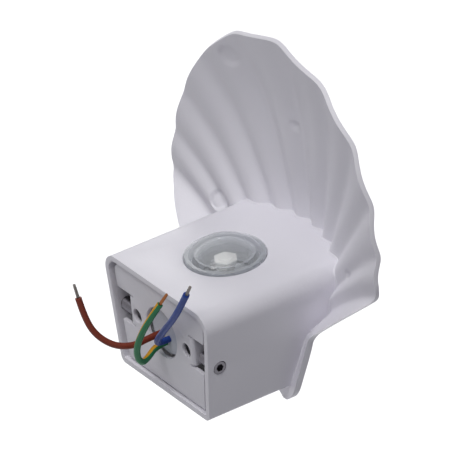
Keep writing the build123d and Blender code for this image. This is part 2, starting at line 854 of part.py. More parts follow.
def make_led_leads():
    length = board_bottom_z - driver_top_z
    places = ((-led_lead_x, led_lead_depth), (led_lead_x, led_lead_depth))
    return [upright_rod(x, depth, led_lead_diameter, driver_top_z, length) for x, depth in places]


def make_screw_groups():
    groups = {}
    cover_shank = cover_thickness + cover_gasket_thickness + cover_screw_reach
    groups["cover_screws"] = [
        screw_from_rear(medium_screw(cover_shank), x, z, cover_depth) for x, z in cover_screw_places
    ]
    groups["shell_screws"] = [
        screw_from_rear(medium_screw(wall + screw_reach), x, z, web_depth) for x, z in shell_screw_places
    ]
    groups["led_carrier_screws"] = [
        Pos(x, rim_projection - depth, carrier_bottom_z) * head_down
        * medium_screw(carrier_thickness + carrier_screw_reach)
        for x, depth in carrier_screw_places
    ]
    ear_top = floor_z + driver_ear_height + driver_ear_thickness
    groups["driver_screws"] = [
        Pos(x, rim_projection - depth, ear_top) * medium_screw(driver_ear_thickness + driver_ear_height)
        for x, depth in driver_screw_places
    ]
    groups["led_board_screws"] = [
        Pos(x, rim_projection - depth, board_top_z) * small_screw(small_screw_reach)
        for x, depth in board_screw_places
    ]
    earth_stack = earth_ring_thickness + wall
    groups["earth_screw"] = [
        screw_from_rear(medium_screw(earth_stack), earth_x, earth_z, web_depth - earth_ring_thickness)
    ]
    return groups


def make_parts():
    parts = {
        "shell": make_shell(),
        "housing": make_housing(),
        "mounting_bracket": make_bracket(),
        "left_set_screw": make_set_screw(1),
        "right_set_screw": make_set_screw(-1),
        "lens": make_lens(),
        "lens_gasket": make_lens_gasket(),
        "lens_retainer": make_lens_retainer(),
        "led_board": make_led_board(),
        "led_emitter": make_led_emitter(),
        "led_carrier": make_led_carrier(),
        "driver_case": make_driver_case(),
        "driver_lid": make_driver_lid(),
        "driver_board": make_driver_board(),
        "transformer": make_transformer(),
        "capacitor": make_capacitor(),
        "inner_cover": make_cover(),
        "cover_gasket": make_cover_gasket(),
        "cable_grommet": make_grommet(),
        "earth_terminal": make_earth_terminal(),
        "inner_earth_lead": make_inner_earth_lead(),
        "inner_supply_leads": Compound(make_inner_supply_leads()),
        "led_leads": Compound(make_led_leads()),
    }
    for name, screws in make_screw_groups().items():
        parts[name] = Compound(screws)
    routes = {"brown": brown_route, "earth": earth_route, "blue": blue_route}
    for name, route in routes.items():
        parts[name + "_lead"], parts[name + "_strands"] = make_lead(name, route)
    return parts


os.makedirs("parts", exist_ok=True)
for node, part in make_parts().items():
    export_step(part, os.path.join("parts", node + ".step"))
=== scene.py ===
import math

import bmesh
import bpy
import numpy as np
from mathutils import Matrix, Vector
from mathutils.bvhtree import BVHTree


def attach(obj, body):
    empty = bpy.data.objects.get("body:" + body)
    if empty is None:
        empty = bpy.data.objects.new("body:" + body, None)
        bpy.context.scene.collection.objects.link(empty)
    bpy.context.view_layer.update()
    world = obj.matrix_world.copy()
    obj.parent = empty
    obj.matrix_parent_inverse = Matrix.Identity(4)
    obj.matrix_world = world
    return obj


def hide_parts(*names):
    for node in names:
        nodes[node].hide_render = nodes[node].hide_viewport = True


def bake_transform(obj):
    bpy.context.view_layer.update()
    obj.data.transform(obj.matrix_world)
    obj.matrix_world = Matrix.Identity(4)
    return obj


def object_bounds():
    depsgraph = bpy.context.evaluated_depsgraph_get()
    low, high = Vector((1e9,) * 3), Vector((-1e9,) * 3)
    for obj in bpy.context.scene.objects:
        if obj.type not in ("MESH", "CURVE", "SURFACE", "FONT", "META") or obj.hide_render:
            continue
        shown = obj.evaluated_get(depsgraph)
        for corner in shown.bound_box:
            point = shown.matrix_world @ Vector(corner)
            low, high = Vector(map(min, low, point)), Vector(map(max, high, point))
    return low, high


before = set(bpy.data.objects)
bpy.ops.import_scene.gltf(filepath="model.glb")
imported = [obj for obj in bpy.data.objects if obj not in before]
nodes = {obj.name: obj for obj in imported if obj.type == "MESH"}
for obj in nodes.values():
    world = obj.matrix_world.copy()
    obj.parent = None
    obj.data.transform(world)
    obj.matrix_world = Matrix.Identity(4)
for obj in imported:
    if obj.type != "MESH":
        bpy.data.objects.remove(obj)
cadBounds = [list(corner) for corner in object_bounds()]
mm = 0.001
print("frame:", len(nodes), "nodes")


# small helpers

def linear(hexCode):
    channels = [int(hexCode[i:i + 2], 16) / 255 for i in (1, 3, 5)]
    return tuple(c / 12.92 if c <= 0.04045 else ((c + 0.055) / 1.055) ** 2.4 for c in channels) + (1.0,)


def addNode(tree, kind, inputs=None, **settings):
    node = tree.nodes.new(kind)
    for name, value in settings.items():
        setattr(node, name, value)
    for name, value in (inputs or {}).items():
        if isinstance(value, bpy.types.NodeSocket):
            tree.links.new(value, node.inputs[name])
        else:
            node.inputs[name].default_value = value
    return node


def newMesh(name, verts, faces, material=None, smooth=True):
    mesh = bpy.data.meshes.new(name)
    mesh.from_pydata([tuple(v) for v in verts], [], faces)
    mesh.update()
    piece = bpy.data.objects.new(name, mesh)
    bpy.context.scene.collection.objects.link(piece)
    if material:
        mesh.materials.append(material)
    mesh.polygons.foreach_set("use_smooth", [smooth] * len(mesh.polygons))
    return piece


def facesOutward(mesh):
    shape = bmesh.new()
    shape.from_mesh(mesh)
    bmesh.ops.recalc_face_normals(shape, faces=shape.faces)
    shape.to_mesh(mesh)
    shape.free()


def loopMesh(name, loops, material, smoothAngle):
    # a closed skin over a row of equal loops, millimetres
    ring = len(loops[0])
    verts = [tuple(c * mm for c in place) for loop in loops for place in loop]
    faces = [tuple(range(ring)), tuple(range(len(verts) - ring, len(verts)))]
    for row in range(len(loops) - 1):
        for k in range(ring):
            n = (k + 1) % ring
            faces.append((row * ring + k, row * ring + n, (row + 1) * ring + n, (row + 1) * ring + k))
    piece = newMesh(name, verts, faces, material)
    facesOutward(piece.data)
    piece.data.set_sharp_from_angle(angle=math.radians(smoothAngle))
    return piece


def settle(piece):
    # turns the modifiers' result into the piece's own plain mesh
    bpy.context.view_layer.update()
    graph = bpy.context.evaluated_depsgraph_get()
    mesh = bpy.data.meshes.new_from_object(piece.evaluated_get(graph), depsgraph=graph)
    piece.modifiers.clear()
    old = piece.data
    piece.data = mesh
    mesh.name = piece.name
    if old.users == 0:
        bpy.data.meshes.remove(old)


# materials: each is named for the real one and how it was made, and a note says what that gives the eye

def surface(name, hexCode, roughness, metallic=0.0, ior=1.5, grainMm=1.0, grainDepth=0.0,
            mottleMm=20.0, mottle=0.03, roughSpread=0.06):
    # base finish: a fine grain as bump, a slow change of tone, and a roughness that wanders a little
    grainLow, grainHigh = 0.3, 0.7   # most of the noise lies between these
    smoothest = 0.02
    mat = bpy.data.materials.new(name)
    mat.use_nodes = True
    tree = mat.node_tree
    tree.nodes.clear()
    place = addNode(tree, "ShaderNodeTexCoord").outputs["Object"]
    grain = addNode(tree, "ShaderNodeTexNoise", {"Vector": place, "Scale": 1 / (grainMm * mm), "Detail": 2.0})
    slow = addNode(tree, "ShaderNodeTexNoise", {"Vector": place, "Scale": 1 / (mottleMm * mm), "Detail": 3.0})
    colour = linear(hexCode)[:3]
    darker = tuple(c * (1 - mottle) for c in colour) + (1.0,)
    lighter = tuple(min(1.0, c * (1 + mottle)) for c in colour) + (1.0,)
    tone = addNode(tree, "ShaderNodeMix", {0: slow.outputs["Fac"], 6: darker, 7: lighter}, data_type="RGBA")
    rough = addNode(tree, "ShaderNodeMapRange", {
        "Value": grain.outputs["Fac"], "From Min": grainLow, "From Max": grainHigh,
        "To Min": max(smoothest, roughness - roughSpread), "To Max": min(1.0, roughness + roughSpread)})
    shader = addNode(tree, "ShaderNodeBsdfPrincipled", {
        "Base Color": tone.outputs[2], "Roughness": rough.outputs["Result"],
        "Metallic": metallic, "IOR": ior})
    if grainDepth:
        bump = addNode(tree, "ShaderNodeBump", {
            "Height": grain.outputs["Fac"], "Strength": 1.0, "Distance": grainDepth * mm})
        tree.links.new(bump.outputs["Normal"], shader.inputs["Normal"])
    addNode(tree, "ShaderNodeOutputMaterial", {"Surface": shader.outputs["BSDF"]})
    return mat


# polyester powder coat on die-cast aluminium: satin white, its orange peel drawn coarser than life
powderCoat = surface("powderCoatWhite", "#ebe9f0", 0.42,
                     grainMm=1.1, grainDepth=0.035, mottleMm=35, mottle=0.012)
# the same coat on pressed sheet steel: a touch greyer and flatter
bracketCoat = surface("powderCoatSheetSteel", "#e6e4eb", 0.45,
                      grainMm=0.9, grainDepth=0.03, mottleMm=25, mottle=0.02)
# zinc plate on steel: bright metal with a patchy grey bloom
zincSteel = surface("zincPlatedSteel", "#a9a7a4", 0.3, metallic=1.0,
                    grainMm=0.5, grainDepth=0.01, mottle=0.08)
# steel blackened in oil: dark metal, with soft light on the thread's crests
darkSteel = surface("oiledBlackSteel", "#6a686e", 0.36, metallic=1.0,
                    grainMm=0.4, grainDepth=0.01, mottle=0.1)
# pressed silicone rubber: a dull grey that gives no clear reflection
sealRubber = surface("greySiliconeRubber", "#8b8e98", 0.6,
                     grainMm=0.7, grainDepth=0.02, mottleMm=6, mottle=0.05)
# moulded silicone rubber without filler: softer and much paler
grommetRubber = surface("paleSiliconeRubber", "#c6c9d2", 0.55,
                        grainMm=0.7, grainDepth=0.02, mottleMm=6, mottle=0.04)
# aluminium as it leaves the die: pale metal under a matt skin
dieCast = surface("bareCastAluminium", "#c3c4c8", 0.4, metallic=1.0,
                  grainMm=0.6, grainDepth=0.02, mottle=0.05)
# white solder mask on a metal core: smooth, half glossy; its grey is painted shade, standing for the dim
# light down in the lens well
shadedSolderMask = surface("whiteSolderMaskPaintedShade", "#c4c7cc", 0.35, grainMm=0.4, grainDepth=0.004, mottle=0.02)
# green solder mask on glass fibre: smooth, half glossy, with the weave as a change of tone
greenMask = surface("greenSolderMask", "#1f5a36", 0.35, grainMm=0.4, grainDepth=0.004, mottle=0.06)
# injection-moulded polycarbonate: an even off-white with a fine spark finish
mouldedCase = surface("mouldedPolycarbonate", "#dcdcda", 0.5, grainMm=0.5, grainDepth=0.012, mottle=0.02)
# polyester tape wound round a coil: warm yellow with a film's gloss
tapedCoil = surface("yellowPolyesterTape", "#c9a13a", 0.35, grainMm=0.8, grainDepth=0.02, mottle=0.08)
# sleeve shrunk over a can: black with a soft gloss
sleeveBlack = surface("shrunkSleeveBlack", "#22242c", 0.4, grainMm=0.5, grainDepth=0.01, mottle=0.08)
# extruded PVC: strong colour, a soft sheen and a slight unevenness along the lead
extruded = {"grainMm": 0.6, "grainDepth": 0.012, "mottleMm": 4}
brownPvc = surface("brownPvc", "#78301f", 0.45, ior=1.35, mottle=0.09, **extruded)
bluePvc = surface("bluePvc", "#23408e", 0.45, ior=1.35, mottle=0.09, **extruded)
greenPvc = surface("greenPvc", "#2a7a50", 0.45, ior=1.35, mottle=0.08, **extruded)
redPvc = surface("redPvc", "#8f2a22", 0.4, mottle=0.08, **extruded)
# drawn copper wire, tinned or bare: metal with darker streaks
drawnWire = {"metallic": 1.0, "grainMm": 0.3, "grainDepth": 0.01, "mottleMm": 1.5, "mottle": 0.15}
tinnedCopper = surface("tinnedCopper", "#75706d", 0.34, **drawnWire)
bareCopper = surface("bareCopper", "#93603c", 0.36, **drawnWire)
# silicone moulded over phosphor: smooth warm white
siliconeDome = surface("siliconePhosphorDome", "#fbfaf4", 0.3, grainMm=0.8, grainDepth=0.01, mottle=0.02)

# injection-moulded PMMA: polished and clear, with a pale grey body that shows where it is seen edge on
acrylicFinish = {
    "tint": "#e9edf2", "roughness": 0.04, "ior": 1.49, "gloss": 1.0, "flowMm": 9, "flowDepth": 0.02,
    "faceOn": 0.3, "faceBody": 0.2, "edgeBody": 0.7,
}


def clearAcrylic(s):
    mat = bpy.data.materials.new("clearAcrylic")
    mat.use_nodes = True
    tree = mat.node_tree
    tree.nodes.clear()
    place = addNode(tree, "ShaderNodeTexCoord").outputs["Object"]
    flow = addNode(tree, "ShaderNodeTexNoise", {
        "Vector": place, "Scale": 1 / (s["flowMm"] * mm), "Detail": 1.0})
    bump = addNode(tree, "ShaderNodeBump", {
        "Height": flow.outputs["Fac"], "Strength": 1.0, "Distance": s["flowDepth"] * mm})
    facing = addNode(tree, "ShaderNodeLayerWeight", {"Blend": 0.5}).outputs["Facing"]
    body = addNode(tree, "ShaderNodeMapRange", {
        "Value": facing, "From Min": s["faceOn"], "From Max": 1.0,
        "To Min": s["faceBody"], "To Max": s["edgeBody"]})
    shader = addNode(tree, "ShaderNodeBsdfPrincipled", {
        "Base Color": linear(s["tint"]), "Roughness": s["roughness"], "IOR": s["ior"],
        "Specular IOR Level": s["gloss"], "Alpha": body.outputs["Result"], "Normal": bump.outputs["Normal"]})
    addNode(tree, "ShaderNodeOutputMaterial", {"Surface": shader.outputs["BSDF"]})
    return mat


lensAcrylic = clearAcrylic(acrylicFinish)
print("materials ready")


# camera at the photograph's viewpoint
cameraSetup = {
    "azimuth": 238.83, "elevation": 29.61, "roll": -5.73,   # degrees
    "distance": 1.7569, "focalPixels": 5192.6,
    "target": (0.0, -0.03294, 0.0193),
    "targetPixel": (237.2, 250.2), "imageSize": 450, "sensor": 36.0, "clipEnd": 20.0,
}


def makeCamera(setup):
    a, e, r = (math.radians(setup[k]) for k in ("azimuth", "elevation", "roll"))
    back = Vector((math.sin(a) * math.cos(e), -math.cos(a) * math.cos(e), math.sin(e)))
    right = Vector((0, 0, 1)).cross(back).normalized()
    up = back.cross(right)
    tiltedRight = right * math.cos(r) + up * math.sin(r)
    tiltedUp = up * math.cos(r) - right * math.sin(r)
    middle = setup["imageSize"] / 2
    perPixel = setup["distance"] / setup["focalPixels"]
    aim = Vector(setup["target"])
    aim -= tiltedRight * (setup["targetPixel"][0] - middle) * perPixel
    aim += tiltedUp * (setup["targetPixel"][1] - middle) * perPixel
    data = bpy.data.cameras.new("camera")
    data.sensor_width = setup["sensor"]
    data.lens = setup["focalPixels"] / setup["imageSize"] * setup["sensor"]
    data.clip_end = setup["clipEnd"]
    camera = bpy.data.objects.new("camera", data)
    bpy.context.scene.collection.objects.link(camera)
    axes = Matrix((tiltedRight, tiltedUp, back)).transposed()
    camera.matrix_world = Matrix.Translation(aim + back * setup["distance"]) @ axes.to_4x4()
    bpy.context.scene.camera = camera


makeCamera(cameraSetup)

# light and floor
studio = {
    "floorDrop": 0.26, "floorSize": 12.0, "floorColour": "#cfcfd2", "floorGlow": 0.8,
    "worldColour": "#e8e9f2", "worldStrength": 0.12,
    "topSize": 1.5, "topPower": 17.8, "topPlace": (-0.25, 0.5, 1.55),
    "fillSize": 1.2, "fillPower": 9.0, "fillPlace": (1.3, -1.2, 0.9),
    "aim": (0.0, -0.03, 0.02),
}


def areaLight(name, place, size, power, aim):
    data = bpy.data.lights.new(name, "AREA")
    data.shape = "DISK"
    data.size = size
    data.energy = power
    lamp = bpy.data.objects.new(name, data)
    bpy.context.scene.collection.objects.link(lamp)
    lamp.location = place
    lamp.rotation_euler = (Vector(aim) - Vector(place)).to_track_quat("-Z", "Y").to_euler()


def seenByEye(tree):
    # 1 for rays that bring a surface to the eye: straight, mirrored or through the lens
    rays = addNode(tree, "ShaderNodeLightPath").outputs
    seen = rays["Is Camera Ray"]
    for kind in ("Is Glossy Ray", "Is Transmission Ray"):
        seen = addNode(tree, "ShaderNodeMath", {0: seen, 1: rays[kind]}, operation="MAXIMUM").outputs[0]
    return seen


def makeStudio(setup):
    white = (1, 1, 1, 1)
    areaLight("topLight", setup["topPlace"], setup["topSize"], setup["topPower"], setup["aim"])
    areaLight("fillLight", setup["fillPlace"], setup["fillSize"], setup["fillPower"], setup["aim"])
    world = bpy.data.worlds.new("studioWorld")
    bpy.context.scene.world = world
    world.use_nodes = True
    tree = world.node_tree
    tree.nodes.clear()
    dim = addNode(tree, "ShaderNodeBackground", {
        "Color": linear(setup["worldColour"]), "Strength": setup["worldStrength"]})
    bright = addNode(tree, "ShaderNodeBackground", {"Color": white, "Strength": 1.0})
    mix = addNode(tree, "ShaderNodeMixShader", {
        0: seenByEye(tree), 1: dim.outputs["Background"], 2: bright.outputs["Background"]})
    addNode(tree, "ShaderNodeOutputWorld", {"Surface": mix.outputs["Shader"]})

    # a pale floor, seen as white with the object's own shadow left on it
    mat = bpy.data.materials.new("paleFloor")
    mat.use_nodes = True
    tree = mat.node_tree
    tree.nodes.clear()
    matt = addNode(tree, "ShaderNodeBsdfDiffuse", {"Color": linear(setup["floorColour"])})
    lift = addNode(tree, "ShaderNodeMath", {0: seenByEye(tree), 1: setup["floorGlow"]}, operation="MULTIPLY")
    glow = addNode(tree, "ShaderNodeEmission", {"Color": white, "Strength": lift.outputs[0]})
    both = addNode(tree, "ShaderNodeAddShader", {0: matt.outputs["BSDF"], 1: glow.outputs["Emission"]})
    addNode(tree, "ShaderNodeOutputMaterial", {"Surface": both.outputs["Shader"]})
    half = setup["floorSize"] / 2
    low = cadBounds[0][2] - setup["floorDrop"]
    corners = [(-half, -half, low), (half, -half, low), (half, half, low), (-half, half, low)]
    newMesh("floor", corners, [(0, 1, 2, 3)], mat, smooth=False)


makeStudio(studio)
print("camera and studio ready")


# free leads: insulation as a smooth tube along a NURBS route, bare twisted strands at the end
leadSizes = {
    "diameter": 2.3, "ring": 20, "routeOrder": 3, "routeSteps": 24,
    "strandDiameter": 0.4, "strandRing": 8, "strandLay": 9.0, "strandReach": 5.0, "strandCount": 6,
    "strandSteps": 16, "strandSpacing": 1.95, "tipDraw": 0.25, "tipPower": 3,
    "gripStart": (0, -1.8, 0), "gripEnd": (0, 3.0, 0),   # where a lead's grip starts and ends, in millimetres
}
leadRoutes = {
    "brown": [(1.6, -1.8, -1.0), (1.6, 4.4, -1.0), (0.9, 10.8, -1.1), (3.2, 17.0, 0.3), (7.2, 21.6, 4.9),
              (10.0, 23.4, 11.6), (11.8, 23.8, 18.2)],
    "earth": [(0.4, -1.8, -4.4), (0.4, 2.6, -4.4), (-1.2, 7.0, -6.4), (-3.0, 10.6, -6.2), (-3.6, 12.6, -2.6),
              (-5.6, 13.2, 3.2), (-9.2, 12.0, 10.6), (-12.4, 10.0, 16.6), (-14.6, 8.0, 20.9)],
    "blue": [(-1.8, -1.8, -2.2), (-1.8, 2.4, -2.2), (-4.6, 5.0, 0.8), (-10.1, 5.1, 7.3), (-17.3, 5.5, 14.8),
             (-23.4, 5.8, 22.2), (-28.3, 5.5, 29.7)],
}
earthStripes = {
    "green": "#2a7a50", "yellow": "#d2991c", "share": 0.34, "start": 0.272, "turnsPerMetre": -5.5,
}


def splinePoints(name, route):
    # the route's points are control points of one NURBS line, read back as a fine polyline
    curve = bpy.data.curves.new(name, "CURVE")
    curve.dimensions = "3D"
    curve.resolution_u = leadSizes["routeSteps"]
    spline = curve.splines.new("NURBS")
    spline.points.add(len(route) - 1)
    for point, place in zip(spline.points, route):
        point.co = (*(c * mm for c in place), 1.0)
    spline.order_u = leadSizes["routeOrder"]
    spline.use_endpoint_u = True
    line = bpy.data.objects.new(name, curve)
    bpy.context.scene.collection.objects.link(line)
    mesh = bpy.data.meshes.new_from_object(line)
    points = [v.co.copy() for v in mesh.vertices]
    bpy.data.objects.remove(line)
    bpy.data.curves.remove(curve)
    bpy.data.meshes.remove(mesh)
    return points


def carriedFrames(points):
    # directions across the line, carried along it without twist
    tangents = [(b - a).normalized() for a, b in zip(points, points[1:])]
    tangents.append(tangents[-1])
    side = tangents[0].orthogonal().normalized()
    frames = []
    for tangent in tangents:
        side = (side - tangent * side.dot(tangent)).normalized()
        frames.append((side, tangent.cross(side)))
    return frames


def tube(name, points, radius, ring, material):
    verts, faces, uvs = [], [], []
    frames = carriedFrames(points)
    lengths = [0.0]
    for a, b in zip(points, points[1:]):
        lengths.append(lengths[-1] + (b - a).length)
    for point, (side, other) in zip(points, frames):
        for k in range(ring):
            angle = 2 * math.pi * k / ring
            verts.append(point + (side * math.cos(angle) + other * math.sin(angle)) * radius)
    for row in range(len(points) - 1):
        for k in range(ring):
            n = (k + 1) % ring
            faces.append((row * ring + k, row * ring + n, (row + 1) * ring + n, (row + 1) * ring + k))
            low, high = lengths[row], lengths[row + 1]
            uvs += [(low, k / ring), (low, (k + 1) / ring), (high, (k + 1) / ring), (high, k / ring)]
    last = (len(points) - 1) * ring
    for first, order in ((0, -1), (last, 1)):
        cap = [first + k for k in range(ring)][::order]
        faces.append(tuple(cap))
        uvs += [(lengths[0] if first == 0 else lengths[-1], (v - first) / ring) for v in cap]
    piece = newMesh(name, verts, faces, material)
    layer = piece.data.uv_layers.new(name="alongAround")
    for loop, uv in zip(layer.data, uvs):
        loop.uv = uv
    for polygon in piece.data.polygons[-2:]:
        polygon.use_smooth = False
    return piece


def earthPvc():
    # two-colour PVC: the stripe runs along the lead and turns slowly round it
    mat = surface("greenYellowPvc", earthStripes["green"], 0.45, ior=1.35, mottle=0.08, **extruded)
    tree = mat.node_tree
    uv = addNode(tree, "ShaderNodeUVMap", uv_map="alongAround").outputs["UV"]
    parts = addNode(tree, "ShaderNodeSeparateXYZ", {"Vector": uv}).outputs
    turn = addNode(tree, "ShaderNodeMath", {
        0: parts["X"], 1: earthStripes["turnsPerMetre"], 2: earthStripes["start"]}, operation="MULTIPLY_ADD")
    around = addNode(tree, "ShaderNodeMath", {0: parts["Y"], 1: turn.outputs[0]}, operation="ADD")
    share = addNode(tree, "ShaderNodeMath", {0: around.outputs[0], 1: 1.0}, operation="FLOORED_MODULO")
    yellow = addNode(tree, "ShaderNodeMath", {
        0: share.outputs[0], 1: earthStripes["share"]}, operation="LESS_THAN")
    shader = next(n for n in tree.nodes if n.type == "BSDF_PRINCIPLED")
    green = shader.inputs["Base Color"].links[0].from_socket
    mix = addNode(tree, "ShaderNodeMix", {
        0: yellow.outputs[0], 6: green, 7: linear(earthStripes["yellow"])}, data_type="RGBA")
    tree.links.new(mix.outputs[2], shader.inputs["Base Color"])
    return mat


def twistedStrands(name, end, direction, sizes, material):
    # a straight core and a ring of strands wound round it, which taper together at the tip
    reach = sizes["strandReach"] * mm
    radius = sizes["strandDiameter"] * mm / 2
    side = direction.orthogonal().normalized()
    other = direction.cross(side)
    steps = sizes["strandSteps"]
    pieces = []
    for strand in range(sizes["strandCount"] + 1):
        points = []
        for step in range(steps + 1):
            run = reach * step / steps
            angle = 2 * math.pi * (strand / sizes["strandCount"] + run / (sizes["strandLay"] * mm))
            away = 0.0
            if strand > 0:
                drawn = 1 - sizes["tipDraw"] * (step / steps) ** sizes["tipPower"]
                away = radius * sizes["strandSpacing"] * drawn
            points.append(end + direction * run + (side * math.cos(angle) + other * math.sin(angle)) * away)
        pieces.append(tube(name + str(strand), points, radius, sizes["strandRing"], material))
    whole = bmesh.new()
    for piece in pieces:
        whole.from_mesh(piece.data)
        mesh = piece.data
        bpy.data.objects.remove(piece)
        bpy.data.meshes.remove(mesh)
    mesh = bpy.data.meshes.new(name)
    whole.to_mesh(mesh)
    whole.free()
    mesh.materials.append(material)
    piece = bpy.data.objects.new(name, mesh)
    bpy.context.scene.collection.objects.link(piece)
    return piece


def makeLeads():
    finishes = {
        "brown": (brownPvc, tinnedCopper, "brown_pvc", "tin"),
        "earth": (earthPvc(), bareCopper, "earth_pvc", "copper"),
        "blue": (bluePvc, tinnedCopper, "blue_pvc", "tin"),
    }
    for colour, route in leadRoutes.items():
        jacket, metal, jacketSlot, metalSlot = finishes[colour]
        points = splinePoints(colour + "Route", route)
        lead = tube(colour + "Lead", points, leadSizes["diameter"] * mm / 2, leadSizes["ring"], jacket)
        ahead = (points[-1] - points[-2]).normalized()
        strands = twistedStrands(colour + "Strands", points[-1], ahead, leadSizes, metal)
        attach(strands, "bracket")
        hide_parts(colour + "_strands")
        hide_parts(colour + "_lead")
        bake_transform(lead)


makeLeads()
print("leads ready")


# scallop shell: a bowl that fans out from a point under the box, and ribs that bulge into it
shellSizes = {
    # millimetres and degrees; a share is 0 at the fan's point and 1 at the rim
    "boxTop": 19.3, "rim": 1.0, "thickness": 2.5, "rimTaper": 0.9, "taperShare": 0.12,
    "edgeRound": 0.6, "edgeSegments": 3, "edgeAngle": 60, "smoothAngle": 48,
    "fanDrop": 56.0, "fanOpening": 3.5, "ribsEachSide": 5, "firstRibAngle": 12.76, "ribAngleLoss": 0.714,
    "earAngleStep": 5.2, "earSteps": 10.0, "earFlank": 1.2, "converge": 0.41,
    "radiusMean": 86.4, "radiusSwing": 40.15, "depthMean": 45.4, "depthSwing": 10.5, "depthRate": 1.68,
    "rise": 8.8, "spread": 38.5, "falloff": 2.33, "power": 3.4, "crown": 0.52, "umboDrop": 50.0,
    "ribHeight": 2.9, "ribSideLoss": 0.17, "ribSoftness": 0.46, "ribStart": 0.34, "ribDecline": 0.5,
    "earLift": 12.2, "liftWidth": 0.6, "liftLength": 15.0, "liftShare": 0.5, "fadePower": 6,
    "normalSpan": 0.8, "normalStep": 0.001,
    "earX": 59.5, "earTipX": 60.6, "earTipFillet": 8.0,
    "earLowerX": 33.0, "earLowerDrop": 22.0, "earFillet": 5.0,
    "tongueDrop": 50.0, "tongueCornerX": 30.0, "tongueCornerRise": 4.0, "tongueFillet": 8.0,
    "lipSteps": 40, "lipAim": 12, "lipGap": 0.5, "outlineSpread": 1.5, "outlineRise": 2.0, "cutDepth": 2.0,
    "stepsPerRib": 20, "flankGrid": 14, "earGrid": 24, "rowGrid": 130, "lowRounds": 12,
    # x, z and radius of the ejector pins' shallow prints, drawn deeper than life so that they show
    "pinMarks": [(30.3, 73.9, 3.6), (37.8, 16.0, 3.2), (3.0, 55.0, 1.6), (-39.2, 19.0, 1.6)],
    "pinDepth": 0.7, "pinEdge": 0.5,
}


def bowlPlace(s, index, share):
    # a place on the smooth bowl: index counts creases from the middle, share runs out to the rim
    ribs = s["ribsEachSide"]
    count = np.abs(index)
    last = s["firstRibAngle"] * ribs - s["ribAngleLoss"] * ribs ** 2
    angle = np.where(count > ribs, last + s["earAngleStep"] * (count - ribs),
                     s["firstRibAngle"] * count - s["ribAngleLoss"] * count ** 2)
    reach = share * (s["radiusMean"] + s["radiusSwing"] * np.cos(np.radians(2 * angle)))
    turn = np.radians(angle * (1 - s["converge"] * (1 - share))) * np.sign(index)
    rise = s["rise"] * np.exp(-(angle / s["spread"]) ** s["falloff"])
    outward = np.clip((share - s["crown"]) / (1 - s["crown"]), 0, None)
    inward = np.clip((s["crown"] - share) / s["crown"], 0, 1)
    umbo = s["umboDrop"] * np.cos(np.radians(angle)) ** 2 * (1 - np.sqrt(1 - inward ** 2))
    steps = np.clip(count - ribs, 0, None)   # past the last crease the ears stand back towards the wall
    lift = (1 - np.exp(-(steps / s["liftWidth"]) ** 2)) * np.exp(-steps / s["liftLength"])
    grown = share ** s["fadePower"]
    lift = s["earLift"] * lift * grown / (grown + s["liftShare"] ** s["fadePower"])
    depth = s["depthMean"] + s["depthSwing"] * np.cos(np.radians(s["depthRate"] * angle))
    depth = depth + rise * (1 - outward ** s["power"]) - umbo - lift
    height = s["boxTop"] - s["fanDrop"] + reach * np.cos(turn)
    return np.stack([reach * np.sin(turn), s["rim"] - depth, height], -1) * mm


def bowlGrid(s):
    ribs = s["ribsEachSide"]
    inside = np.linspace(-ribs, ribs, 2 * ribs * s["stepsPerRib"] + 1)
    flank = np.linspace(0, s["earFlank"], s["flankGrid"] + 1)[1:]
    ear = np.linspace(s["earFlank"], s["earSteps"], s["earGrid"] + 1)[1:]
    ear = ribs + np.concatenate([flank, ear])
    index = np.concatenate([-ear[::-1], inside, ear])[:, None]
    rim = bowlPlace(s, index, np.ones_like(index))
    base = (s["boxTop"] - s["fanDrop"]) * mm
    reach = np.hypot(rim[..., 0], rim[..., 2] - base) / mm
    angle = np.degrees(np.arctan2(np.abs(rim[..., 0]), rim[..., 2] - base))
    low = np.zeros_like(angle)
    for step in range(s["lowRounds"]):   # the fan's lower edge is a level line, found by repeated guesses
        low = s["fanOpening"] / reach / np.cos(np.radians(angle * (1 - s["converge"] * (1 - low))))
    share = low + (1 - low) * np.linspace(0, 1, s["rowGrid"] + 1)[None, :]
    return index * np.ones_like(share), share


def bowlNormals(s, index, share):
    # taken over a span of creases, so that the wall doesn't fold where an ear turns up
    span, step = s["normalSpan"], s["normalStep"]
    across = bowlPlace(s, index + span, share) - bowlPlace(s, index - span, share)
    along = bowlPlace(s, index, share + step) - bowlPlace(s, index, share - step)
    normal = np.cross(across, along)
    normal /= np.linalg.norm(normal, axis=-1, keepdims=True)
    return normal * np.where(normal[..., 1:2] < 0, -1.0, 1.0)


def pinPrints(s, place):
    # how far each place is pressed in by an ejector pin, pins pointing along Y
    depth = np.zeros(place.shape[:-1])
    for x, z, radius in s["pinMarks"]:
        away = np.hypot(place[..., 0] / mm - x, place[..., 2] / mm - z)
        edge = np.clip((radius - away) / s["pinEdge"] + 0.5, 0, 1)   # the print's wall, eased at both ends
        depth = np.maximum(depth, s["pinDepth"] * mm * edge * edge * (3 - 2 * edge))
    return depth


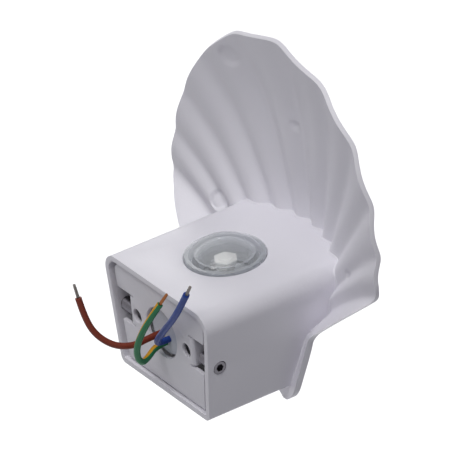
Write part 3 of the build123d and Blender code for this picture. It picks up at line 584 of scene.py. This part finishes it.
def bowlSlab(s, material):
    index, share = bowlGrid(s)
    columns, rows = index.shape
    inner = bowlPlace(s, index, share)
    normal = bowlNormals(s, index, share)
    outer = inner - normal * s["thickness"] * mm
    taper = np.clip((share - 1) / s["taperShare"] + 1, 0, 1) ** 2   # the wall thins towards the rim
    inner = inner - normal * (pinPrints(s, inner) + taper * s["rimTaper"] * mm)[..., None]
    count = columns * rows
    faces = []
    for c in range(columns - 1):
        for r in range(rows - 1):
            a, b = c * rows + r, (c + 1) * rows + r
            faces.append((a, a + 1, b + 1, b))
            faces.append((count + b, count + b + 1, count + a + 1, count + a))
    border = [c * rows for c in range(columns)]
    border += [(columns - 1) * rows + r for r in range(1, rows)]
    border += [c * rows + rows - 1 for c in range(columns - 2, -1, -1)]
    border += list(range(rows - 2, 0, -1))
    for a, b in zip(border, border[1:] + border[:1]):
        faces.append((a, b, count + b, count + a))
    verts = np.concatenate([inner.reshape(-1, 3), outer.reshape(-1, 3)])
    shell = newMesh("scallopShell", verts, faces, material)
    facesOutward(shell.data)
    for name, values in (("ribIndex", index), ("share", share)):
        layer = shell.data.attributes.new(name, "FLOAT", "POINT")
        layer.data.foreach_set("value", np.tile(values.reshape(-1), 2).astype(np.float32))
    layer = shell.data.attributes.new("bowlNormal", "FLOAT_VECTOR", "POINT")
    layer.data.foreach_set("vector", np.tile(normal.reshape(-1), 2).astype(np.float32))
    return shell


def ribTree(s, material):
    # every vertex moves along the bowl's normal by the height of the rib that it lies on
    tree = bpy.data.node_groups.new("shellRibs", "GeometryNodeTree")
    face = tree.interface
    face.new_socket("Geometry", in_out="INPUT", socket_type="NodeSocketGeometry")
    sizes = {"Rib Height": s["ribHeight"] * mm, "Side Loss": s["ribSideLoss"], "Softness": s["ribSoftness"],
             "Start": s["ribStart"], "Decline": s["ribDecline"], "Fade Power": float(s["fadePower"]),
             "Ribs Each Side": float(s["ribsEachSide"])}
    for name in sizes:
        face.new_socket(name, in_out="INPUT", socket_type="NodeSocketFloat")
    face.new_socket("Geometry", in_out="OUTPUT", socket_type="NodeSocketGeometry")
    given = addNode(tree, "NodeGroupInput").outputs
    named = {name: given[name] for name in sizes}
    for name in ("ribIndex", "share"):
        read = addNode(tree, "GeometryNodeInputNamedAttribute", {"Name": name}, data_type="FLOAT")
        named[name] = read.outputs["Attribute"]
    read = addNode(tree, "GeometryNodeInputNamedAttribute", {"Name": "bowlNormal"}, data_type="FLOAT_VECTOR")
    normal = read.outputs["Attribute"]
    # each step has a name, an operation, and the inputs, earlier steps or numbers that it works on
    steps = [
        ("softSquare", "MULTIPLY", "Softness", "Softness"),
        ("turn", "MULTIPLY", "ribIndex", math.pi),
        ("swing", "SINE", "turn"),
        ("bluntSquare", "MULTIPLY_ADD", "swing", "swing", "softSquare"),
        ("blunt", "SQRT", "bluntSquare"),
        ("wave", "SUBTRACT", "blunt", "Softness"),
        ("crestSquare", "ADD", "softSquare", 1.0),
        ("crestRoot", "SQRT", "crestSquare"),
        ("crest", "SUBTRACT", "crestRoot", "Softness"),
        ("grown", "POWER", "share", "Fade Power"),
        ("startGrown", "POWER", "Start", "Fade Power"),
        ("bothGrown", "ADD", "grown", "startGrown"),
        ("fade", "DIVIDE", "grown", "bothGrown"),
        ("count", "ABSOLUTE", "ribIndex"),
        ("aside", "DIVIDE", "count", "Ribs Each Side"),
        ("inside", "LESS_THAN", "aside", 1.0),
        ("declined", "MULTIPLY", "share", "Decline"),
        ("undeclined", "SUBTRACT", 1.0, "declined"),
        ("tall", "MULTIPLY", "undeclined", "Rib Height"),
        ("sideLost", "MULTIPLY", "aside", "Side Loss"),
        ("sideLeft", "SUBTRACT", 1.0, "sideLost"),
        ("sideTall", "MULTIPLY", "tall", "sideLeft"),
        ("fadedTall", "MULTIPLY", "sideTall", "fade"),
        ("evenWave", "DIVIDE", "wave", "crest"),
        ("ribWave", "MULTIPLY", "evenWave", "inside"),
        ("height", "MULTIPLY", "fadedTall", "ribWave"),
    ]
    for name, operation, *terms in steps:
        inputs = {k: named.get(term, term) for k, term in enumerate(terms)}
        named[name] = addNode(tree, "ShaderNodeMath", inputs, operation=operation).outputs[0]
    push = addNode(tree, "ShaderNodeVectorMath", {
        "Vector": normal, "Scale": named["height"]}, operation="SCALE")
    moved = addNode(tree, "GeometryNodeSetPosition", {
        "Geometry": given["Geometry"], "Offset": push.outputs["Vector"]})
    real = addNode(tree, "GeometryNodeRealizeInstances", {"Geometry": moved.outputs["Geometry"]})
    painted = addNode(tree, "GeometryNodeSetMaterial", {
        "Geometry": real.outputs["Geometry"], "Material": material})
    addNode(tree, "NodeGroupOutput", {"Geometry": painted.outputs["Geometry"]})
    return tree, sizes


def addTree(piece, tree, sizes):
    modifier = piece.modifiers.new(tree.name, "NODES")
    modifier.node_group = tree
    for item in tree.interface.items_tree:
        if item.item_type == "SOCKET" and item.in_out == "INPUT" and item.name in sizes:
            modifier[item.identifier] = sizes[item.name]


def roundedCorner(before, corner, after, radius, steps=8):
    a, c, b = Vector(before), Vector(corner), Vector(after)
    u, v = (a - c).normalized(), (b - c).normalized()
    half = u.angle(v) / 2
    centre = c + (u + v).normalized() * radius / math.sin(half)
    first, last = c + u * radius / math.tan(half), c + v * radius / math.tan(half)
    p, q = first - centre, last - centre
    sweep = p.angle(q)
    return [centre + (p * math.sin(sweep * (1 - t)) + q * math.sin(sweep * t)) / math.sin(sweep)
            for t in (k / steps for k in range(steps + 1))]


def shellOutline(s):
    # the ears end on two sloping lines, and the tongue hangs between them
    slope = s["earLowerDrop"] / (s["earX"] - s["earLowerX"])
    bottom = s["boxTop"] - s["tongueDrop"]
    half, rise = s["tongueCornerX"], s["tongueCornerRise"]
    ball = (half ** 2 + rise ** 2) / (2 * rise)
    across = np.linspace(-half, half, s["lipSteps"] + 1)
    lip = [Vector((x, bottom + ball - math.sqrt(ball ** 2 - x ** 2))) for x in across]
    high = Vector((s["earX"] * s["outlineSpread"], s["boxTop"] + s["outlineRise"] * s["radiusMean"]))
    tip = (s["earTipX"], s["boxTop"] + slope * (s["earTipX"] - s["earX"]))
    lower = (s["earLowerX"], s["boxTop"] - s["earLowerDrop"])
    corner = (half, bottom + rise)
    right = [high] + roundedCorner(high, tip, lower, s["earTipFillet"])
    right += roundedCorner(tip, lower, corner, s["earFillet"])
    right += roundedCorner(lower, corner, lip[-s["lipAim"]], s["tongueFillet"])
    middle = [p for p in reversed(lip) if abs(p.x) < right[-1].x - s["lipGap"]]
    left = [Vector((-p.x, p.y)) for p in reversed(right)]
    return right + middle + left


def prism(name, outline, near, far):
    count = len(outline)
    verts = [(p.x * mm, depth * mm, p.y * mm) for depth in (near, far) for p in outline]
    faces = [tuple(range(count)), tuple(range(2 * count - 1, count - 1, -1))]
    faces += [(k, count + k, count + (k + 1) % count, (k + 1) % count) for k in range(count)]
    piece = newMesh(name, verts, faces, smooth=False)
    facesOutward(piece.data)
    return piece


def makeShell(s, material):
    shell = bowlSlab(s, material)
    addTree(shell, *ribTree(s, material))
    edge = shell.modifiers.new("edge", "BEVEL")
    edge.width = s["edgeRound"] * mm
    edge.segments = s["edgeSegments"]
    edge.limit_method = "ANGLE"
    edge.angle_limit = math.radians(s["edgeAngle"])
    cutter = prism("shellOutline", shellOutline(s), s["rim"], -s["cutDepth"] * s["fanDrop"])
    cut = shell.modifiers.new("outline", "BOOLEAN")
    cut.object = cutter
    cut.operation = "INTERSECT"
    cut.solver = "EXACT"
    settle(shell)
    mesh = cutter.data
    bpy.data.objects.remove(cutter)
    bpy.data.meshes.remove(mesh)
    shell.data.polygons.foreach_set("use_smooth", [True] * len(shell.data.polygons))
    shell.data.set_sharp_from_angle(angle=math.radians(s["smoothAngle"]))
    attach(shell, "lamp")
    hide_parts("shell")
    return shell


shell = makeShell(shellSizes, powderCoat)
print("shell ready:", len(shell.data.polygons), "faces")


# seam between box and shell: a run of paintable sealant, smoothed by finger
seamSizes = {
    "topWidth": 64.0, "bottomWidth": 54.0, "top": 19.3, "bottom": -22.7,
    "topCorner": 6.5, "bottomCorner": 2.5,
    "radius": 0.6, "sink": 0.25, "sideSteps": 36, "ring": 14,
}


def boxOutline(s):
    half, low = s["topWidth"] / 2, s["bottomWidth"] / 2
    corners = [(low, s["bottom"]), (half, s["top"]), (-half, s["top"]), (-low, s["bottom"])]
    radii = [s["bottomCorner"], s["topCorner"], s["topCorner"], s["bottomCorner"]]
    points = []
    for k in range(4):
        points += roundedCorner(corners[k - 1], corners[k], corners[(k + 1) % 4], radii[k])
    full = []
    for a, b in zip(points, points[1:] + points[:1]):
        steps = max(1, round((b - a).length / s["topWidth"] * s["sideSteps"]))
        full += [a.lerp(b, k / steps) for k in range(steps)]
    return full


def makeSeam(s, shell, material):
    corners = [v.co for v in shell.data.vertices]
    finder = BVHTree.FromPolygons(corners, [tuple(p.vertices) for p in shell.data.polygons])
    outline = boxOutline(s)
    count, ring = len(outline), s["ring"]
    verts = []
    for k, point in enumerate(outline):
        along = (outline[(k + 1) % count] - outline[k - 1]).normalized()
        out = Vector((along.y, 0, -along.x))
        hit = finder.ray_cast(Vector((point.x, 0, point.y)) * mm, Vector((0, -1, 0)))[0]
        centre = hit - out * s["sink"] * mm
        for step in range(ring):
            turn = 2 * math.pi * step / ring
            spoke = out * math.cos(turn) + Vector((0, math.sin(turn), 0))
            verts.append(centre + spoke * s["radius"] * mm)
    faces = []
    for k in range(count):
        for step in range(ring):
            a, b = k * ring + step, k * ring + (step + 1) % ring
            c, d = (k + 1) % count * ring + (step + 1) % ring, (k + 1) % count * ring + step
            faces.append((a, b, c, d))
    seam = newMesh("seamSealant", verts, faces, material)
    facesOutward(seam.data)
    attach(seam, "lamp")


makeSeam(seamSizes, shell, powderCoat)
print("seam ready")


# painted pieces with their edges broken, as the coat leaves them
edgeSizes = {
    "housing": 0.35, "mounting_bracket": 0.25,   # how wide each piece's broken edge is
    "segments": 3, "edgeAngle": 40, "smoothAngle": 35, "merge": 0.001, "flatAngle": 0.8,
}


def softened(name, s, material, body):
    mesh = nodes[name].data.copy()
    shape = bmesh.new()
    shape.from_mesh(mesh)
    bmesh.ops.remove_doubles(shape, verts=shape.verts, dist=s["merge"] * mm)
    flat = math.radians(s["flatAngle"])
    bmesh.ops.dissolve_limit(shape, angle_limit=flat, verts=shape.verts, edges=shape.edges)
    shape.to_mesh(mesh)
    shape.free()
    piece = bpy.data.objects.new(name + "Painted", mesh)
    bpy.context.scene.collection.objects.link(piece)
    mesh.materials.clear()
    mesh.materials.append(material)
    edge = piece.modifiers.new("edge", "BEVEL")
    edge.width = s[name] * mm
    edge.segments = s["segments"]
    edge.limit_method = "ANGLE"
    edge.angle_limit = math.radians(s["edgeAngle"])
    settle(piece)
    piece.data.polygons.foreach_set("use_smooth", [True] * len(piece.data.polygons))
    piece.data.set_sharp_from_angle(angle=math.radians(s["smoothAngle"]))
    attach(piece, body)
    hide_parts(name)


softened("housing", edgeSizes, powderCoat, "lamp")
softened("mounting_bracket", edgeSizes, bracketCoat, "bracket")
print("painted body ready")


# set screws: a cut thread, a cone point and a hexagon socket
screwSizes = {
    "radius": 2.5, "pitch": 0.8, "threadDepth": 0.42, "tipX": 19.45, "faceX": 29.476, "y": -3.8, "z": -1.9,
    "pointRadius": 1.5, "pointLength": 1.0, "chamfer": 0.3, "socket": 2.5, "socketDepth": 2.5,
    "ring": 36, "rowsPerPitch": 10, "smoothAngle": 40,
}


def makeSetScrew(name, side, s):
    length = s["faceX"] - s["tipX"]
    rows = round(length / s["pitch"] * s["rowsPerPitch"])
    ring = s["ring"]
    angles = [2 * math.pi * k / ring for k in range(ring)]
    loops = []
    for row in range(rows + 1):
        run = length * row / rows
        limit = s["radius"] - max(0.0, s["chamfer"] - (length - run))
        if run < s["pointLength"]:
            limit = s["pointRadius"] + (s["radius"] - s["pointRadius"]) * run / s["pointLength"]
        loop = []
        for angle in angles:
            phase = (run / s["pitch"] + angle / (2 * math.pi)) % 1.0
            cut = s["threadDepth"] * (1 - abs(2 * phase - 1))
            loop.append((run, min(limit, s["radius"] - cut), angle))
        loops.append(loop)
    flats = [s["socket"] / 2 / math.cos(angle % (math.pi / 3) - math.pi / 6) for angle in angles]
    for run in (length, length - s["socketDepth"]):
        loops.append([(run, flat, angle) for flat, angle in zip(flats, angles)])
    places = [[(side * (s["tipX"] + run), s["y"] + away * math.cos(angle), s["z"] + away * math.sin(angle))
               for run, away, angle in loop] for loop in loops]
    screw = loopMesh(name + "Thread", places, darkSteel, s["smoothAngle"])
    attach(screw, name)
    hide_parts(name)


makeSetScrew("left_set_screw", 1, screwSizes)
makeSetScrew("right_set_screw", -1, screwSizes)
print("set screws ready")


# light source: a moulded optic that widens upwards to a hexagon with a low dome
emitterSizes = {
    "y": -28.0, "z": 10.2, "hexagon": 7.6, "height": 8.2, "edge": 0.3, "footShare": 0.35,
    "dome": 2.6, "domeRise": 0.5, "ring": 36, "domeRows": 8, "smoothAngle": 30,
}


def makeEmitter(s):
    angles = [2 * math.pi * k / s["ring"] for k in range(s["ring"])]
    flats = [s["hexagon"] / 2 / math.cos(angle % (math.pi / 3) - math.pi / 6) for angle in angles]
    top = s["z"] + s["height"]
    rows = [(s["z"], [flat * s["footShare"] for flat in flats]), (top - s["edge"], flats)]
    rows.append((top, [flat - s["edge"] for flat in flats]))
    for row in range(s["domeRows"]):
        rise = math.pi / 2 * row / s["domeRows"]
        rows.append((top + s["domeRise"] * math.sin(rise), [s["dome"] * math.cos(rise)] * s["ring"]))
    loops = []
    for z, radii in rows:
        spokes = zip(radii, angles)
        loops.append([(away * math.sin(angle), s["y"] + away * math.cos(angle), z) for away, angle in spokes])
    emitter = loopMesh("emitterHexagon", loops, siliconeDome, s["smoothAngle"])
    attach(emitter, "lamp")
    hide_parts("led_emitter")


makeEmitter(emitterSizes)
print("light source ready")


# carried-over nodes and their finishes
finishes = {
    "shell_screws": zincSteel, "lens": lensAcrylic, "lens_gasket": grommetRubber,
    "lens_retainer": mouldedCase, "led_board": shadedSolderMask, "led_board_screws": zincSteel,
    "led_carrier": dieCast, "led_carrier_screws": zincSteel, "driver_case": mouldedCase,
    "driver_lid": mouldedCase, "driver_board": greenMask, "transformer": tapedCoil,
    "capacitor": sleeveBlack, "driver_screws": zincSteel, "led_leads": redPvc,
    "inner_supply_leads": brownPvc, "inner_earth_lead": greenPvc, "earth_terminal": tinnedCopper,
    "earth_screw": zincSteel, "inner_cover": mouldedCase, "cover_gasket": sealRubber,
    "cover_screws": zincSteel, "cable_grommet": grommetRubber,
}
for name, finish in finishes.items():
    mesh = nodes[name].data
    mesh.materials.clear()
    mesh.materials.append(finish)
print("finishes set")

bpy.context.scene.view_settings.view_transform = "Standard"
